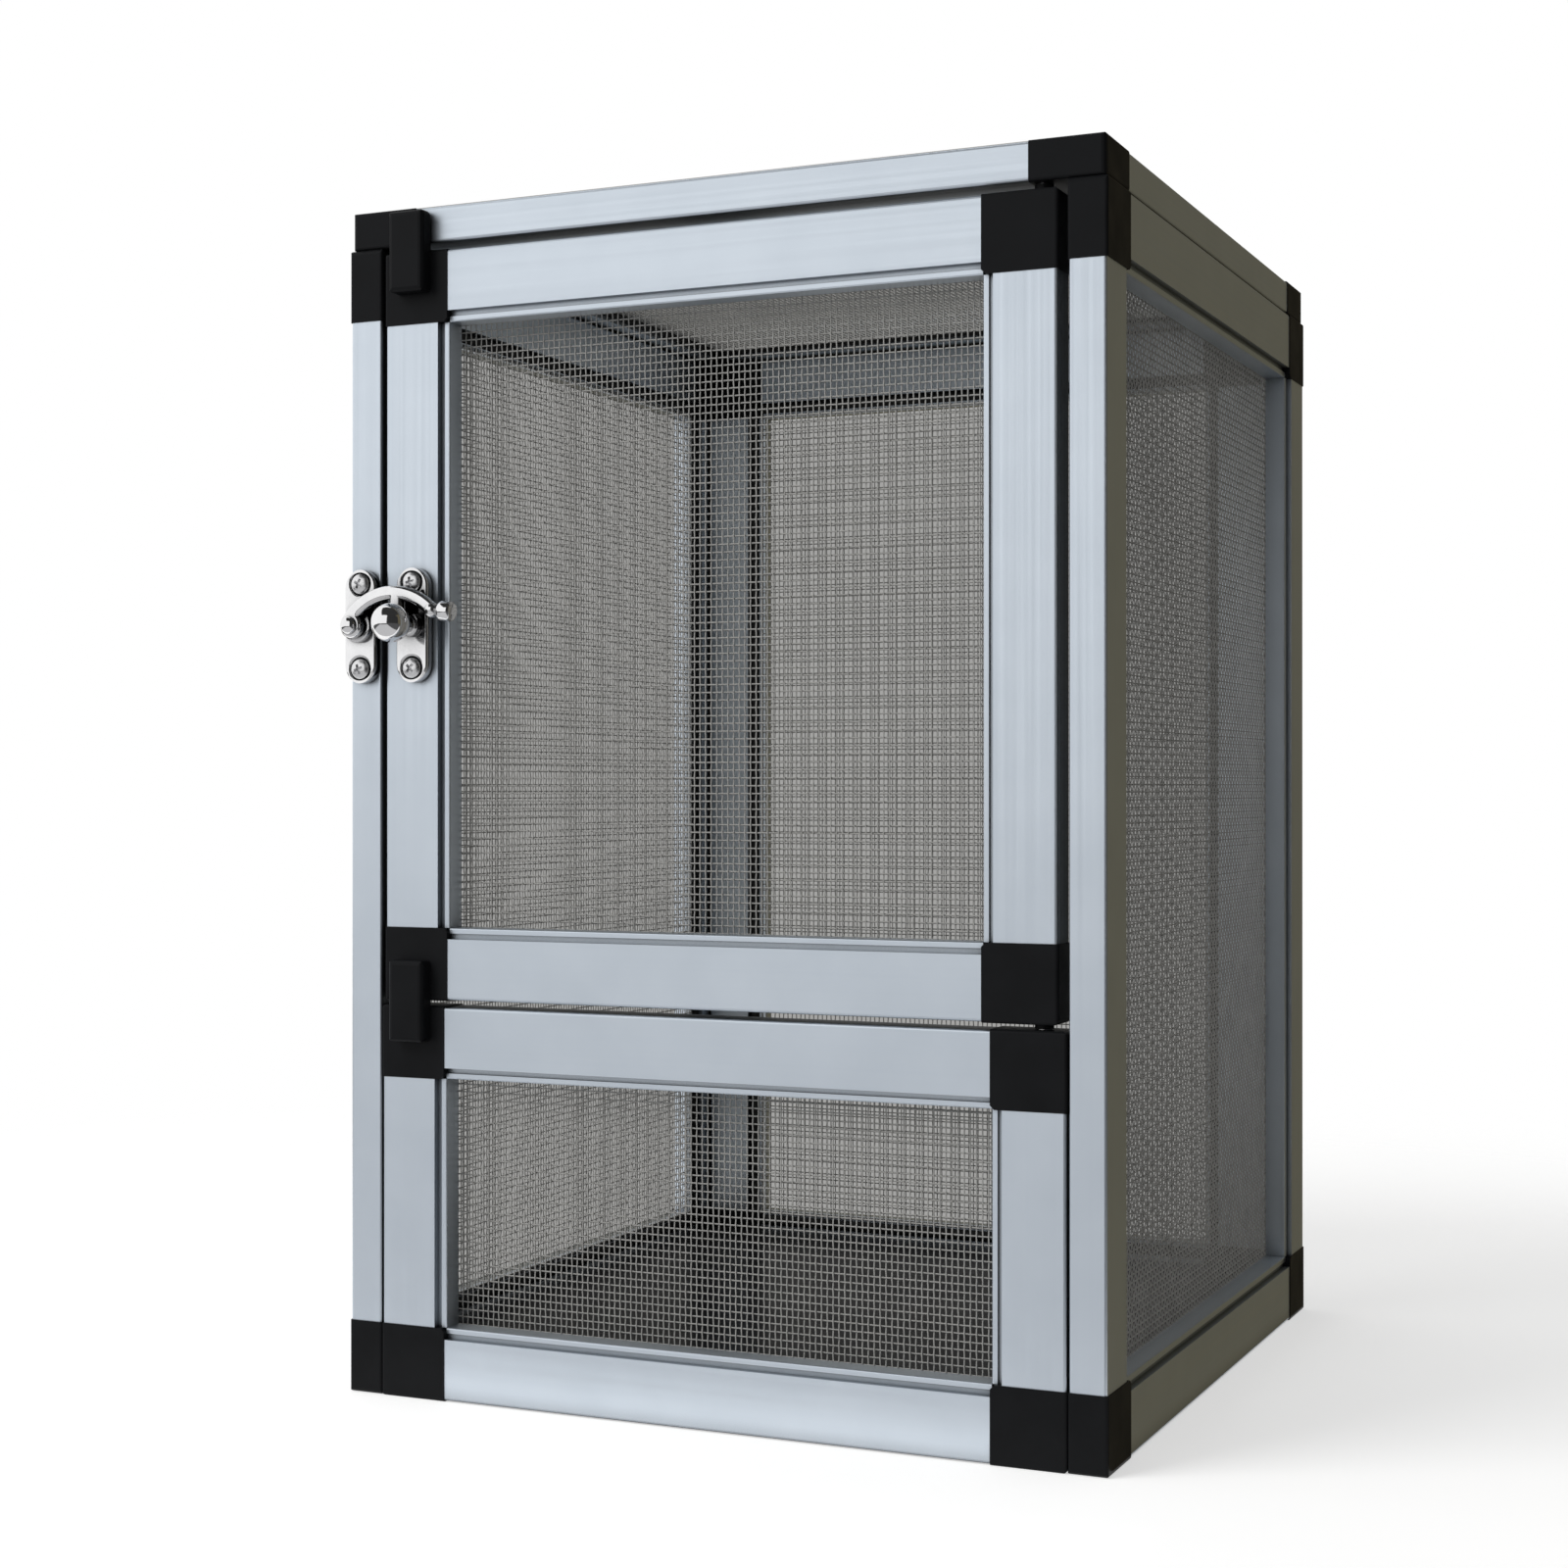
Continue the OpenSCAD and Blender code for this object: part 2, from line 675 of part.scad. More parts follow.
// The latch stands proud of the front, so the cage is set back by half of that
translate([0, latch_reach / 2, 0]) {
    for (p = PANELS) for (edge = [0:3]) panel_rail(p, edge);
    for (p = FIXED_PANELS) fixed_keys(p);
    for (p = MESH_PANELS) panel_mesh(p);
    for (p = MESH_PANELS) panel_spline(p);
    door_hinge_keys();
    door_stop_keys();
    floor_board();
    corner_dowels();
    door_pivot_pins();
    latch_hook_plate();
    latch_hook();
    latch_rivet();
    latch_frame_screws();
    latch_catch_plate();
    latch_catch_post();
    latch_door_screws();
}
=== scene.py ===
import json
from math import acos, asin, atan, atan2, cos, degrees, radians, sin, sqrt

import bmesh
import bpy
import numpy as np
from mathutils import Matrix, Vector


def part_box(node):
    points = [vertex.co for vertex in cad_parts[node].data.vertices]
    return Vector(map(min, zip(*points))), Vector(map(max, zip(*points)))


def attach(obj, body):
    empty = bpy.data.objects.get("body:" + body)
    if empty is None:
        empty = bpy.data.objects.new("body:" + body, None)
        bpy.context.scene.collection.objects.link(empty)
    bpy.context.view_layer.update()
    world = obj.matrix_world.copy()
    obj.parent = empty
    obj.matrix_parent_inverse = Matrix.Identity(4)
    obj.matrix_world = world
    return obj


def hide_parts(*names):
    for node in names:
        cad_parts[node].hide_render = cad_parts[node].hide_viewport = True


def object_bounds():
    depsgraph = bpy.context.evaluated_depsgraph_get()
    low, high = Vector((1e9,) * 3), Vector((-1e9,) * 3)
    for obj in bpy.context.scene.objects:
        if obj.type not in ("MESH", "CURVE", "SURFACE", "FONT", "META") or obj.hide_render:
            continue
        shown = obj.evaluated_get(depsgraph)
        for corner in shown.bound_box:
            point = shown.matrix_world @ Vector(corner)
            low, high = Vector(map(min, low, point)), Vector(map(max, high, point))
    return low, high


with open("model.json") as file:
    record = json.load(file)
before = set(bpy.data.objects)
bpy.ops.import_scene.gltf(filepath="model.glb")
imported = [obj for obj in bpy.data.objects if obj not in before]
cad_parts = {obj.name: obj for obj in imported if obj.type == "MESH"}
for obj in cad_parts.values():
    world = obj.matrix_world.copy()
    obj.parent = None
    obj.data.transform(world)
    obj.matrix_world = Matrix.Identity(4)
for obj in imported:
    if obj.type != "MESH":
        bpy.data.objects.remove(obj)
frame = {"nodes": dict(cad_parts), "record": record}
cad_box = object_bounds()
nodes = frame["nodes"]
slot_of = {part["node"]: part["material_slot"] for part in frame["record"]["subparts"]}
MM = 0.001
weld = 0.0001 * MM

# Mesh: spacing of the upright and the level wires, a wire's width, thickness and weave to either side,
# and the corners of its section in shares of width and thickness
upright_pitch = 1.49 * MM
level_pitch = 1.87 * MM
wire_w = 0.36 * MM
wire_t = 0.32 * MM
wire_wave = 0.12 * MM
wire_section = ((0.5, -0.3), (0, 0.6), (-0.5, -0.3))

# Latch hook, seen from the front with the rivet at the origin: the arm's circle, eye, tooth, bead and grip
arm_r = 16 * MM
arm_w = 3.5 * MM
arm_drop = 8 * MM
arm_end = 45
eye_r = 3.2 * MM
tooth_w = 3.4 * MM
tooth_back = 2 * MM
tooth_low = 2.1 * MM
tooth_round = 0.8 * MM
bead_r = 1.95 * MM
bead_foot = -81
bead_waist = 45
grip_l = 6.2 * MM
grip_r = 2.6 * MM
grip_widest = 0.52
grip_curve = 1.6
grip_edge = 1.1 * MM
grip_rim = 1.6 * MM
grip_turn = -6
hook_t = 2.8 * MM
hook_play = 0.1 * MM
hook_edge = 1.1 * MM

# Latch plates and the boss under the hook
plate_edge = 0.7 * MM
screw_hole_r = 2.9 * MM
screw_pitch = 21.6 * MM
boss_margin = 0.5 * MM
boss_edge = 0.5 * MM
boss_bevel = 0.15 * MM

# Rivet and catch post, which start a little in front of the rail
pin_foot = 0.2 * MM
rivet_rim = 0.3 * MM
rivet_shank_share = 0.5
neck_r = 1.8 * MM
collar_r = 3 * MM
collar_h = 1.2 * MM
collar_edge = 0.3 * MM
flare_r = 1.2 * MM
flare_rise = 0.9 * MM

# Screws: head, shank and cross recess, whose arms are given at the bottom and at the top
screw_head_r = 2.6 * MM
screw_shank_r = 1.4 * MM
screw_l = 7 * MM
screw_straight = 6.2 * MM
screw_tip_share = 0.7
screw_sunk = 0.25 * MM
screw_rim = 0.15 * MM
screw_rise = 1.15 * MM
screw_cone = 1.7 * MM
recess_reach = (0.8 * MM, 1.55 * MM)
recess_half_w = (0.28 * MM, 0.4 * MM)
recess_floor = 0.1 * MM
recess_over = 0.5 * MM
frame_screw_turns = (20, 65)
door_screw_turns = (48, 10)

# Camera: place seen from the middle of the cage's footprint, heading and lens
camera_place = Vector((0.2608, -0.6368, 0.1538))
camera_heading = 24.06
camera_tilt = 90.08
camera_lens = 57.4

# Studio: where the floor runs out, the grey sheets of painted shade that show through the mesh and in the
# metal within, and soft light from one side
floor_colour = (0.64, 0.64, 0.636)
floor_lift = 0.52
floor_fades = 0.24
floor_ends = 0.6
# Painted shade: the glowing grey of the sheets that stands in for the darkness seen through the mesh
through_mesh_shade = (0.372, 0.37, 0.361)
shade_sheet_gap = 0.5 * MM
shade_sheet_inset = 3 * MM
mirrored_shade_gap = 1.5 * MM
light_from = (-0.6, -0.5, 0.6)
light_near = 0.8
light_far = 0.05
light_ends = -0.6
softbox_place = (-1.2, -1.4, 1.8)
softbox_aim = (0, 0, 0.15)
softbox_w = 1.2
softbox_power = 32
background_rays = ("Is Camera Ray", "Is Glossy Ray", "Is Transmission Ray")

# Shades of the cards that the metal mirrors
room_shade = (0.118, 0.103, 0.068)
dark_shade = (0.03, 0.03, 0.03)
ground_shade = (0.08, 0.08, 0.082)
pale_shade = (0.56, 0.56, 0.568)


def mid(name):
    low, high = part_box(name)
    return (low + high) / 2


def size(name):
    low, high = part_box(name)
    return high - low


# Materials

noise_low = 0.3
noise_high = 0.7


def principled(name, **values):
    """A new material and its Principled node; values are socket names with _ for a space."""
    material = bpy.data.materials.new(name)
    material.use_nodes = True
    shader = material.node_tree.nodes["Principled BSDF"]
    for socket, value in values.items():
        shader.inputs[socket.replace("_", " ")].default_value = value
    return material, shader


def noise(material, stretch, detail, roughness=0.5):
    """Noise in object space; stretch is its features per metre along X, Y and Z."""
    tree = material.node_tree
    place = tree.nodes.new("ShaderNodeTexCoord")
    mapping = tree.nodes.new("ShaderNodeMapping")
    mapping.inputs["Scale"].default_value = stretch
    texture = tree.nodes.new("ShaderNodeTexNoise")
    texture.inputs["Scale"].default_value = 1
    texture.inputs["Detail"].default_value = detail
    texture.inputs["Roughness"].default_value = roughness
    tree.links.new(place.outputs["Object"], mapping.inputs["Vector"])
    tree.links.new(mapping.outputs["Vector"], texture.inputs["Vector"])
    return texture.outputs["Fac"]


def map_range(tree, source, **values):
    """A Map Range node on a socket; values are socket names with _ for a space."""
    node = tree.nodes.new("ShaderNodeMapRange")
    for socket, value in values.items():
        node.inputs[socket.replace("_", " ")].default_value = value
    tree.links.new(source, node.inputs["Value"])
    return node


def roughen(material, shader, source, low, high):
    """Spreads a noise between two numbers, as the roughness."""
    tree = material.node_tree
    node = map_range(tree, source, From_Min=noise_low, From_Max=noise_high, To_Min=low, To_Max=high)
    tree.links.new(node.outputs["Result"], shader.inputs["Roughness"])


def tint(material, shader, source, low, high):
    """Spreads a noise between two colours, as the base colour."""
    tree = material.node_tree
    ramp = tree.nodes.new("ShaderNodeValToRGB")
    ramp.color_ramp.elements[0].position = noise_low
    ramp.color_ramp.elements[0].color = (*low, 1)
    ramp.color_ramp.elements[1].position = noise_high
    ramp.color_ramp.elements[1].color = (*high, 1)
    tree.links.new(source, ramp.inputs["Fac"])
    tree.links.new(ramp.outputs["Color"], shader.inputs["Base Color"])


def bump(material, shader, source, strength, height):
    tree = material.node_tree
    node = tree.nodes.new("ShaderNodeBump")
    node.inputs["Strength"].default_value = strength
    node.inputs["Distance"].default_value = height
    tree.links.new(source, node.inputs["Height"])
    tree.links.new(node.outputs["Normal"], shader.inputs["Normal"])


def paint_shade_in_gaps(material, shader, reach, dark_at, clear_at, deepest):
    """Painted shade: darkens the base colour where other faces stand within reach, as in grooves and seams.
    """
    tree = material.node_tree
    base = shader.inputs["Base Color"]
    colour = base.links[0].from_socket
    near = tree.nodes.new("ShaderNodeAmbientOcclusion")
    near.samples = 8
    near.inputs["Distance"].default_value = reach
    depth = map_range(tree, near.outputs["AO"], From_Min=dark_at, From_Max=clear_at, To_Min=deepest)
    shade = tree.nodes.new("ShaderNodeVectorMath")
    shade.operation = "SCALE"
    tree.links.new(colour, shade.inputs["Vector"])
    tree.links.new(depth.outputs["Result"], shade.inputs["Scale"])
    tree.links.new(shade.outputs["Vector"], base)


def rail_aluminium(axis):
    """Satin anodised extrusion with faint die lines along one axis, and painted shade in its grooves and
    gaps.
    """
    material, shader = principled("rail_aluminium_" + "xyz"[axis], Metallic=1.0)
    lines_across = 900.0
    lines_along = 4.0
    stretch = [lines_across] * 3
    stretch[axis] = lines_along
    lines = noise(material, stretch, detail=4.0, roughness=0.6)
    clouds = noise(material, (55, 55, 55), detail=3.0)
    tint(material, shader, clouds, (0.67, 0.737, 0.81), (0.71, 0.777, 0.85))
    # Painted shade: darker base colour in the grooves, seams and gaps
    paint_shade_in_gaps(material, shader, reach=8 * MM, dark_at=0.1, clear_at=0.8, deepest=0.06)
    roughen(material, shader, lines, 0.33, 0.45)
    bump(material, shader, lines, strength=0.1, height=0.04 * MM)
    return material


def key_plastic():
    """Black moulded nylon with a fine spark-eroded grain."""
    material, shader = principled("key_plastic", Specular_IOR_Level=0.1)
    grain = noise(material, (1900, 1900, 1900), detail=2.0)
    clouds = noise(material, (90, 90, 90), detail=4.0)
    tint(material, shader, clouds, (0.006, 0.0064, 0.0072), (0.0088, 0.0093, 0.0105))
    roughen(material, shader, clouds, 0.36, 0.5)
    bump(material, shader, grain, strength=0.25, height=0.06 * MM)
    return material


def mesh_wire():
    """Grey coated wire."""
    material, shader = principled("mesh_wire", Specular_IOR_Level=0.4)
    clouds = noise(material, (140, 140, 140), detail=3.0)
    tint(material, shader, clouds, (0.295, 0.291, 0.278), (0.356, 0.351, 0.335))
    roughen(material, shader, clouds, 0.4, 0.55)
    return material


def spline_rubber():
    """Matt black rubber cord."""
    material, shader = principled("spline_rubber", Specular_IOR_Level=0.25)
    grain = noise(material, (700, 700, 700), detail=3.0)
    tint(material, shader, grain, (0.012, 0.012, 0.012), (0.022, 0.022, 0.021))
    roughen(material, shader, grain, 0.6, 0.75)
    bump(material, shader, grain, strength=0.2, height=0.1 * MM)
    return material


def board_plastic():
    """Dark sheet with a smooth face."""
    material, shader = principled("board_plastic", Specular_IOR_Level=0.02)
    clouds = noise(material, (30, 30, 30), detail=5.0)
    tint(material, shader, clouds, (0.012, 0.012, 0.0125), (0.017, 0.017, 0.018))
    roughen(material, shader, clouds, 0.2, 0.32)
    return material


def dowel_plastic():
    """Natural nylon."""
    material, shader = principled("dowel_plastic")
    grain = noise(material, (400, 400, 400), detail=2.0)
    tint(material, shader, grain, (0.6, 0.57, 0.5), (0.68, 0.65, 0.58))
    roughen(material, shader, grain, 0.45, 0.6)
    return material


def latch_chrome():
    """Bright plating over a cast body, with painted shade where other faces stand near."""
    material, shader = principled("latch_chrome", Metallic=1.0)
    cast = noise(material, (350, 350, 350), detail=3.0)
    tint(material, shader, cast, (0.82, 0.82, 0.83), (0.88, 0.88, 0.885))
    roughen(material, shader, cast, 0.05, 0.13)
    # Painted shade: darker base colour within 14 mm of other faces, as between the plates, the arm and the
    # knob
    paint_shade_in_gaps(material, shader, reach=14 * MM, dark_at=0.4, clear_at=0.85, deepest=0.02)
    bump(material, shader, cast, strength=0.12, height=0.12 * MM)
    return material


def steel():
    """Plated steel."""
    material, shader = principled("steel", Metallic=1.0)
    turned = noise(material, (1500, 1500, 1500), detail=2.0)
    tint(material, shader, turned, (0.76, 0.76, 0.77), (0.84, 0.84, 0.85))
    roughen(material, shader, turned, 0.24, 0.36)
    return material


finishes = {
    "key_plastic": key_plastic(),
    "mesh_wire": mesh_wire(),
    "spline_rubber": spline_rubber(),
    "board_plastic": board_plastic(),
    "dowel_plastic": dowel_plastic(),
    "latch_chrome": latch_chrome(),
    "steel": steel(),
}
rail_finishes = [rail_aluminium(axis) for axis in range(3)]


def dress_cad_nodes():
    """Gives each CAD node its finish, with a rail's die lines along its length."""
    for name, node in nodes.items():
        if slot_of[name] == "rail_aluminium":
            extent = size(name)
            finish = rail_finishes[max(range(3), key=lambda axis: extent[axis])]
        else:
            finish = finishes[slot_of[name]]
        node.data.materials.clear()
        node.data.materials.append(finish)


# Pieces


def add_piece(name, mesh, body, replaced):
    """Puts a mesh in the scene in place of a CAD node, on its body and with its finish."""
    piece = bpy.data.objects.new(name, mesh)
    bpy.context.scene.collection.objects.link(piece)
    mesh.materials.clear()
    mesh.materials.append(finishes[slot_of[replaced]])
    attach(piece, body)
    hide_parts(replaced)


def smooth(mesh, angle=40):
    """Shades a mesh smooth, apart from edges sharper than the angle."""
    mesh.shade_smooth()
    mesh.set_sharp_from_angle(angle=radians(angle))


def wires(low, count, pitch, run, cross, thin, phase):
    """Vertices and faces of the wires along one axis, each waving over and under the wires it crosses."""
    rings = np.concatenate([[0], np.arange(count[run]) + 0.5, [count[run]]]) * pitch[run] + low[run]
    rows = (np.arange(count[cross]) + 0.5) * pitch[cross] + low[cross]
    steps = np.arange(len(rings))
    wave = wire_wave * phase * (-1.0) ** (steps[None, :] + np.arange(len(rows))[:, None])
    wave[:, [0, -1]] = 0
    corners = np.array(wire_section)
    points = np.zeros((len(rows), len(rings), len(corners), 3))
    points[..., run] = rings[None, :, None]
    points[..., cross] = rows[:, None, None] + corners[:, 0] * wire_w
    points[..., thin] = low[thin] + wave[:, :, None] + corners[:, 1] * wire_t
    index = np.arange(points[..., 0].size).reshape(points.shape[:3])
    turned = np.roll(index, -1, axis=2)
    sides = np.stack([turned[:, :-1], turned[:, 1:], index[:, 1:], index[:, :-1]], axis=-1).reshape(-1, 4)
    caps = np.concatenate([index[:, 0, ::-1], index[:, -1]])
    if (cross - run) % 3 != 1:
        sides = sides[:, ::-1]
        caps = caps[:, ::-1]
    return points.reshape(-1, 3), sides.tolist() + caps.tolist()


def woven_mesh(node_name, body):
    """Fine woven wire in place of a CAD net, laid on the rails' inner lips."""
    low, high = (np.array(corner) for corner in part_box(node_name))
    extent = high - low
    thin = int(np.argmin(extent))
    level, upright = [axis for axis in range(3) if axis != thin]
    wanted = np.full(3, level_pitch)
    wanted[level] = upright_pitch
    count = np.maximum(1, np.round(extent / wanted)).astype(int)
    pitch = extent / count
    plane = low.copy()
    plane[thin] = (low[thin] + high[thin]) / 2
    points_a, faces_a = wires(plane, count, pitch, upright, level, thin, 1)
    points_b, faces_b = wires(plane, count, pitch, level, upright, thin, -1)
    mesh = bpy.data.meshes.new(node_name + "_woven")
    faces = faces_a + [[corner + len(points_a) for corner in face] for face in faces_b]
    mesh.from_pydata(np.concatenate([points_a, points_b]).tolist(), [], faces)
    mesh.shade_smooth()
    add_piece(node_name + "_woven", mesh, body, node_name)


def arc(centre, r, start, end, steps):
    """Points along an arc, with angles in degrees."""
    angles = [radians(start + (end - start) * i / steps) for i in range(steps + 1)]
    return [(centre[0] + r * cos(a), centre[1] + r * sin(a)) for a in angles]


def dome(r, rise, foot, angles):
    """(radius, height) points of a dome above its foot, at angles in degrees."""
    return [(r * cos(radians(a)), foot + rise * sin(radians(a))) for a in angles]


def cast_plate(outline, holes, low, high, edge):
    """A flat casting between two heights, with rounded edges all round."""
    curve = bpy.data.curves.new("outline", "CURVE")
    curve.dimensions = "2D"
    curve.fill_mode = "BOTH"
    curve.extrude = (high - low) / 2 - edge
    curve.bevel_depth = edge
    curve.bevel_resolution = 4
    curve.offset = -edge
    for points in [outline, *holes]:
        spline = curve.splines.new("POLY")
        spline.points.add(len(points) - 1)
        for point, (x, y) in zip(spline.points, points):
            point.co = (x, y, 0, 1)
        spline.use_cyclic_u = True
    shape = bpy.data.objects.new("outline", curve)
    bpy.context.scene.collection.objects.link(shape)
    bpy.context.view_layer.update()
    mesh = bpy.data.meshes.new_from_object(shape.evaluated_get(bpy.context.evaluated_depsgraph_get()))
    bpy.data.objects.remove(shape)
    bpy.data.curves.remove(curve)
    mesh.transform(Matrix.Translation((0, 0, (low + high) / 2)))
    return mesh


def lathe(profile, segments=48):
    """A turned part: (radius, height) points from the axis at its foot to the axis at its top."""
    mesh = bpy.data.meshes.new("turned")
    form = bmesh.new()
    spine = [form.verts.new((r, 0, z)) for r, z in profile]
    edges = [form.edges.new(pair) for pair in zip(spine, spine[1:])]
    turn = {"cent": (0, 0, 0), "axis": (0, 0, 1), "angle": radians(360), "steps": segments}
    bmesh.ops.spin(form, geom=spine + edges, use_merge=True, **turn)
    bmesh.ops.remove_doubles(form, verts=form.verts, dist=weld)
    bmesh.ops.recalc_face_normals(form, faces=form.faces)
    form.to_mesh(mesh)
    form.free()
    return mesh


def joined(meshes):
    """One mesh from several, welded where they share points."""
    form = bmesh.new()
    for mesh in meshes:
        form.from_mesh(mesh)
        bpy.data.meshes.remove(mesh)
    bmesh.ops.remove_doubles(form, verts=form.verts, dist=weld)
    bmesh.ops.recalc_face_normals(form, faces=form.faces)
    mesh = bpy.data.meshes.new("joined")
    form.to_mesh(mesh)
    form.free()
    return mesh


def onto_front(mesh, place):
    """Stands a part, drawn flat with its back at z = 0, on the cage's front at a place."""
    mesh.transform(Matrix.Translation(place) @ Matrix.Rotation(radians(90), 4, "X"))
    return mesh


def latch_place(node_name):
    """Where the middle of a latch piece meets the plane of the rails behind the latch."""
    middle = mid(node_name)
    return Vector((middle.x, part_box("latch_catch_plate")[1].y, middle.z))


def plate_mesh():
    """A plate with rounded ends and two screw holes."""
    extent = size("latch_catch_plate")
    ear_r = extent.x / 2
    ear_y = extent.z / 2 - ear_r
    outline = arc((0, ear_y), ear_r, 0, 180, steps=24) + arc((0, -ear_y), ear_r, 180, 360, steps=24)
    holes = [arc((0, y), screw_hole_r, 0, 345, steps=23) for y in (-screw_pitch / 2, screw_pitch / 2)]
    return cast_plate(outline, holes, 0, extent.y, plate_edge)


def boss_mesh():
    """The round boss on the hook plate, on which the hook turns."""
    foot = size("latch_catch_plate").y - plate_edge
    top = size("latch_hook_plate").y
    r = size("latch_catch_plate").x / 2 - boss_margin
    return lathe([
        (0, foot),
        (r, foot),
        (r, top - boss_edge),
        (r - boss_bevel, top - boss_bevel),
        (r - boss_edge, top),
        (0, top),
    ])


def latch_plates():
    hook_plate = joined([plate_mesh(), boss_mesh()])
    catch_plate = plate_mesh()
    for mesh, name, body in (
        (hook_plate, "latch_hook_plate", "frame"),
        (catch_plate, "latch_catch_plate", "door"),
    ):
        smooth(onto_front(mesh, latch_place(name)))
        add_piece(name + "_cast", mesh, body, name)


def hook_outline(span):
    """The hook from the front: outer edge, end at the bead, inner edge with its tooth, and round the eye."""
    reach = arm_r + arm_w / 2 - eye_r
    centre = (sqrt(reach**2 - arm_drop**2), -arm_drop)
    start = 180 - degrees(asin(arm_drop / reach))
    outer = arc(centre, arm_r + arm_w / 2, start, arm_end, steps=30)
    bead = arc(centre, arm_r, arm_end, arm_end, steps=1)[0]
    end = arc(bead, arm_w / 2, arm_end, arm_end - 180, steps=10)[1:-1]
    inner_r = arm_r - arm_w / 2

    def inner_angle(x):
        return 90 - degrees(asin((x - centre[0]) / inner_r))

    tooth_x = span - tooth_back
    right = tooth_x + tooth_w / 2
    left = tooth_x - tooth_w / 2
    tooth = arc((right - tooth_round, tooth_low + tooth_round), tooth_round, 0, -90, steps=5)
    tooth += arc((left + tooth_round, tooth_low + tooth_round), tooth_round, -90, -180, steps=5)
    # The inner edge meets the round of the eye where both circles cross
    towards = (reach**2 + eye_r**2 - inner_r**2) / (2 * reach)
    aside = sqrt(eye_r**2 - towards**2)
    unit = (centre[0] / reach, centre[1] / reach)
    meet = (towards * unit[0] - aside * unit[1], towards * unit[1] + aside * unit[0])
    meet_angle = degrees(atan((meet[1] - centre[1]) / (meet[0] - centre[0]))) + 180
    eye_from = degrees(atan2(meet[1], meet[0]))
    inner_low = arc(centre, inner_r, arm_end, inner_angle(right), steps=12)
    inner_high = arc(centre, inner_r, inner_angle(left), meet_angle, steps=16)
    eye = arc((0, 0), eye_r, eye_from, start - 360, steps=30)
    return outer + end + inner_low + tooth + inner_high + eye[1:-1], bead


def grip_mesh():
    """The bead at the arm's end and the bell-shaped grip behind it, turned about +z."""
    bead = arc((0, 0), bead_r, bead_foot, bead_waist, steps=14)
    waist_r, waist_z = bead[-1]
    swell = grip_r - waist_r
    climb = grip_l * grip_widest - waist_z
    bell = []
    for angle in range(15, 91, 15):
        bell.append((waist_r + swell * sin(radians(angle)) ** grip_curve, waist_z + climb * (angle / 90)))
    end = arc((grip_r - grip_edge, grip_l - grip_edge), grip_edge, 0, 75, steps=5)
    return lathe([(0, -bead_r), *bead, *bell, *end, (grip_r - grip_rim, grip_l), (0, grip_l)], 40)


def latch_hook():
    span = mid("latch_catch_post").x - mid("latch_rivet").x
    low = size("latch_hook_plate").y + hook_play
    high = low + hook_t
    outline, bead = hook_outline(span)
    body = cast_plate(outline, [], low, high, hook_edge)
    grip = grip_mesh()
    grip.transform(Matrix.Rotation(radians(grip_turn), 4, "Z") @ Matrix.Rotation(radians(90), 4, "Y"))
    grip.transform(Matrix.Translation((*bead, (low + high) / 2)))
    mesh = joined([body, grip])
    smooth(onto_front(mesh, latch_place("latch_rivet")))
    add_piece("latch_hook_cast", mesh, "latch_hook", "latch_hook")


def latch_rivet():
    low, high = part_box("latch_rivet")
    place = latch_place("latch_rivet")
    top = place.y - low.y
    seat = size("latch_hook_plate").y + hook_t + 2 * hook_play
    rim = seat + rivet_rim
    head_r = (high.x - low.x) / 2
    shank_r = head_r * rivet_shank_share
    crown = dome(head_r, top - rim, rim, range(0, 90, 9))
    mesh = lathe([(0, pin_foot), (shank_r, pin_foot), (shank_r, seat), (head_r, seat), *crown, (0, top)])
    smooth(onto_front(mesh, place))
    add_piece("latch_rivet_turned", mesh, "frame", "latch_rivet")


def latch_catch_post():
    low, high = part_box("latch_catch_post")
    place = latch_place("latch_catch_plate")
    plate_t = size("latch_catch_plate").y
    top = place.y - low.y
    ball_r = (high.x - low.x) / 2
    collar_top = plate_t + collar_h
    start = -degrees(acos(neck_r / ball_r))
    ball = dome(ball_r, ball_r, top - ball_r, np.linspace(start, 90, 28)[:-1])
    flare = arc((collar_r, collar_top + flare_rise), flare_r, 262, 188, steps=8)
    mesh = lathe([
        (0, pin_foot),
        (neck_r, pin_foot),
        (neck_r, plate_t),
        (collar_r, plate_t),
        (collar_r, collar_top - collar_edge),
        *flare,
        *ball,
        (0, top),
    ], 64)
    smooth(onto_front(mesh, place))
    add_piece("latch_catch_post_turned", mesh, "door", "latch_catch_post")


def cross_cutters(low, high):
    """The two tapered bars that sink a cross recess into a screw head."""
    meshes = []
    for turn in (0, 90):
        bar = bmesh.new()
        bmesh.ops.create_cube(bar, size=1)
        for corner in bar.verts:
            end = 0 if corner.co.z < 0 else 1
            x = np.sign(corner.co.x) * recess_reach[end]
            y = np.sign(corner.co.y) * recess_half_w[end]
            corner.co = (x, y, (low, high)[end])
        bmesh.ops.rotate(bar, cent=(0, 0, 0), matrix=Matrix.Rotation(radians(turn), 3, "Z"), verts=bar.verts)
        mesh = bpy.data.meshes.new("bar")
        bar.to_mesh(mesh)
        bar.free()
        meshes.append(mesh)
    return meshes


def cut(mesh, cutter):
    """Takes one mesh out of another."""
    blank = bpy.data.objects.new("blank", mesh)
    tool = bpy.data.objects.new("tool", cutter)
    for thing in (blank, tool):
        bpy.context.scene.collection.objects.link(thing)
    step = blank.modifiers.new("cut", "BOOLEAN")
    step.object = tool
    step.operation = "DIFFERENCE"
    step.solver = "EXACT"
    bpy.context.view_layer.update()
    done = bpy.data.meshes.new_from_object(blank.evaluated_get(bpy.context.evaluated_depsgraph_get()))
    for thing in (blank, tool):
        bpy.data.objects.remove(thing)
    bpy.data.meshes.remove(mesh)
    bpy.data.meshes.remove(cutter)
    return done


